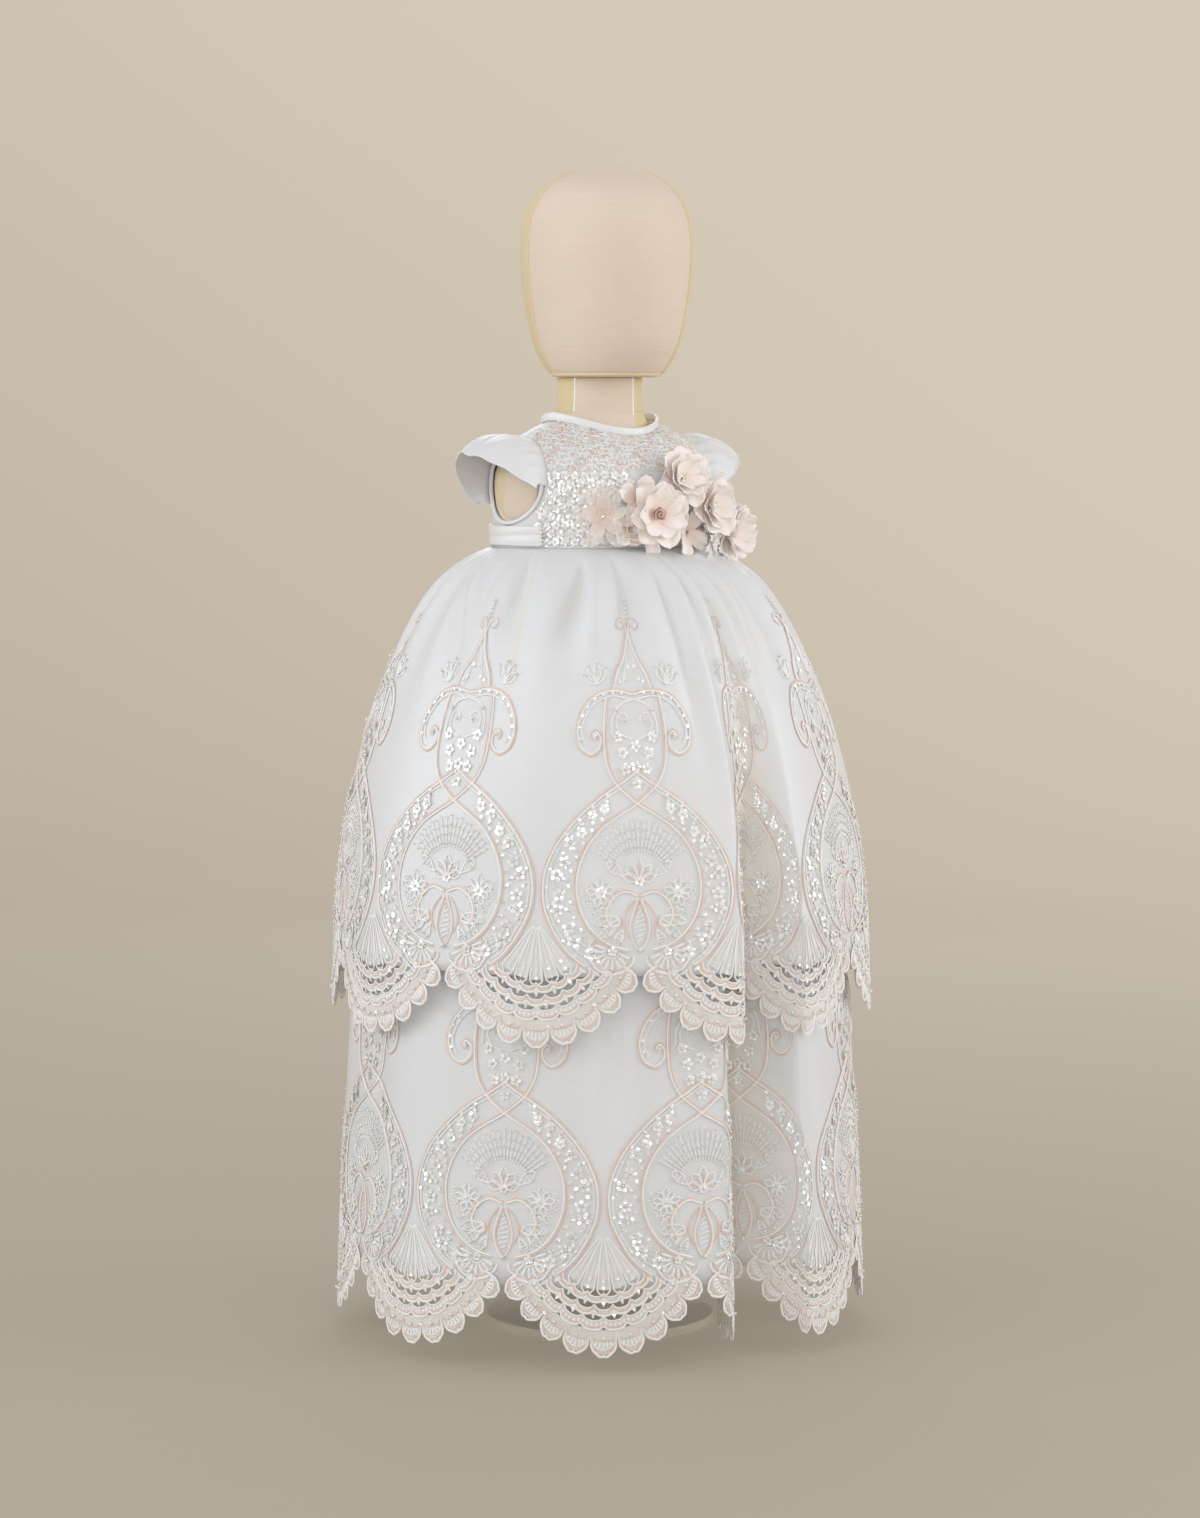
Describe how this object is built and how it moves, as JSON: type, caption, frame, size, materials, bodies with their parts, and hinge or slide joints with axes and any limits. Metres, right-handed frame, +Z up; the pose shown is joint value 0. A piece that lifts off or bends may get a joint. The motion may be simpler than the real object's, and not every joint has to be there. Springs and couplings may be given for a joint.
{
  "type": "christening gown on a limbless baby dress form",
  "caption": "Sleeved satin christening gown with two lace-edged gathered skirts and a waist corsage, standing on its linen baby dress form.",
  "frame": {"origin": "middle of the stand's underside, on the surface that it rests on", "axes": "+Z up through the stand's pole, the gown faces -Y, its wearer's left arm is at +X"},
  "size_m": [0.4336, 0.4329, 0.9215],
  "materials": {
    "satin": "soft white satin with a low sheen",
    "lace": "corded net lace in white and pale rose with small sequins",
    "petals": "sheer blush fabric",
    "linen": "matte linen over a smooth form",
    "stand": "matte cream paint"
  },
  "bodies": {
    "root": {"bodice_front": "satin", "bodice_back_left": "satin", "bodice_back_right": "satin", "neck_binding": "satin", "armhole_binding_left": "satin", "armhole_binding_right": "satin", "sleeve_left": "satin", "sleeve_right": "satin", "waist_sash": "satin", "overskirt": "satin", "underskirt": "satin", "back_button_1": "satin", "back_button_2": "satin", "back_button_3": "satin", "bodice_lace": "lace", "overskirt_lace_left": "lace", "overskirt_lace_right": "lace", "underskirt_lace_left": "lace", "underskirt_lace_right": "lace", "corsage_bloom_main": "petals", "corsage_bloom_upper": "petals", "corsage_bloom_pearl": "petals", "corsage_bloom_side": "petals", "corsage_rosette": "petals", "corsage_petals": "petals", "form_head": "linen", "form_neck": "linen", "form_torso": "linen", "form_arm_cap_left": "linen", "form_arm_cap_right": "linen", "stand_base": "stand", "stand_pole": "stand"}
  },
  "joints": []
}
